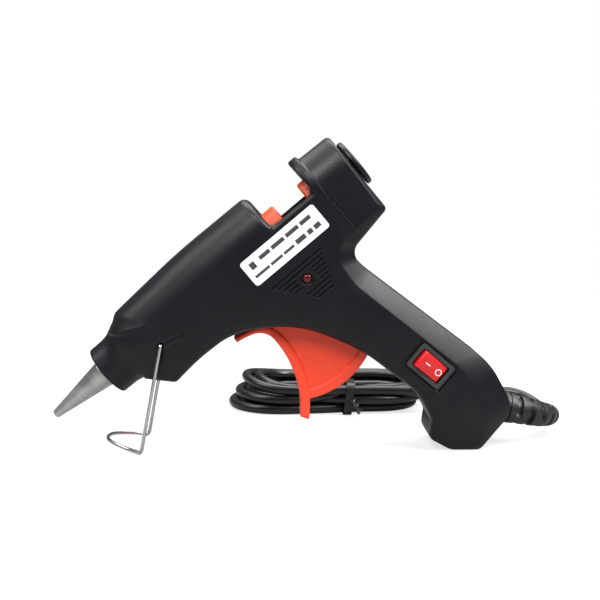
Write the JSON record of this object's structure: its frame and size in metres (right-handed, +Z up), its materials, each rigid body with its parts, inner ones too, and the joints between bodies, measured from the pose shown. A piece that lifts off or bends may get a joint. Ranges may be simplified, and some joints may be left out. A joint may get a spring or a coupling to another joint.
{
  "type": "glue gun",
  "caption": "Small hot glue gun on a folding wire stand, with a finger trigger that feeds the stick, a rocker switch and a corded handle.",
  "frame": {"origin": "centre of the gun's own box on the surface it stands on, without the cord", "axes": "+Z up, +X from the nozzle towards the handle's back, +Y towards the far half of the body"},
  "size_m": [0.1937, 0.1396, 0.114],
  "materials": {
    "body_black": "fine matte texture",
    "trigger_orange": "satin",
    "bare_metal": "turned",
    "wire_chrome": "bright",
    "switch_red": "gloss",
    "label_white": "printed film",
    "cord_black": "satin",
    "silicone": "matte",
    "heater_ceramic": "matte ceramic",
    "board_green": "solder mask"
  },
  "bodies": {
    "root": {"left_shell": "body_black", "right_shell": "body_black", "nozzle": "bare_metal", "heating_chamber": "bare_metal", "ptc_heater": "heater_ceramic", "upper_electrode": "wire_chrome", "lower_electrode": "wire_chrome", "front_insulator": "silicone", "chamber_saddle": "body_black", "feed_sleeve": "silicone", "sleeve_clamp": "wire_chrome", "inlet_collar": "body_black", "trigger_pin": "wire_chrome", "return_spring": "wire_chrome", "switch_body": "body_black", "switch_terminal_1": "wire_chrome", "switch_terminal_2": "wire_chrome", "led_indicator": "switch_red", "led_board": "board_green", "rating_label": "label_white", "housing_screw_1": "wire_chrome", "housing_screw_2": "wire_chrome", "housing_screw_3": "wire_chrome", "housing_screw_4": "wire_chrome", "housing_screw_5": "wire_chrome", "strain_relief": "cord_black", "cord_lead": "cord_black", "cord_hank": "cord_black", "cord_tail": "cord_black", "plug_body": "cord_black", "plug_pin_1": "wire_chrome", "plug_pin_2": "wire_chrome"},
    "trigger_lever": {"trigger": "trigger_orange"},
    "carriage": {"feed_carriage": "trigger_orange"},
    "jaw": {"grip_jaw": "bare_metal"},
    "stand": {"wire_stand": "wire_chrome"},
    "rocker": {"switch_rocker": "switch_red"}
  },
  "joints": [
    {"name": "trigger_pull", "type": "hinge", "parent": "root", "child": "trigger_lever", "pos_m": [0.00406, 0.00041, 0.04959], "axis": [0, -1, 0], "range_deg": [0, 26], "stiffness_Nm_per_rad": 0.25, "springref_deg": -20.05},
    {"name": "carriage_slide", "type": "slide", "parent": "root", "child": "carriage", "axis": [-0.766, 0, -0.6428], "range_m": [0, 0.0076], "deforming": ["return_spring"]},
    {"name": "jaw_tip", "type": "hinge", "parent": "carriage", "child": "jaw", "pos_m": [0.00914, 0.00041, 0.08414], "axis": [0, 1, 0], "range_deg": [0, 6]},
    {"name": "stand_fold", "type": "hinge", "parent": "root", "child": "stand", "pos_m": [-0.04306, 0.00041, 0.03995], "axis": [0, -1, 0], "range_deg": [0, 85]},
    {"name": "rocker_tilt", "type": "hinge", "parent": "root", "child": "rocker", "pos_m": [0.05432, -0.01229, 0.03185], "axis": [-0.6428, 0, -0.766], "range_deg": [0, 14]}
  ],
  "couplings": [
    {"joint": "carriage_slide", "follows": "trigger_pull", "m_per_rad": 0.01636},
    {"joint": "jaw_tip", "follows": "trigger_pull", "ratio": 0.2}
  ]
}
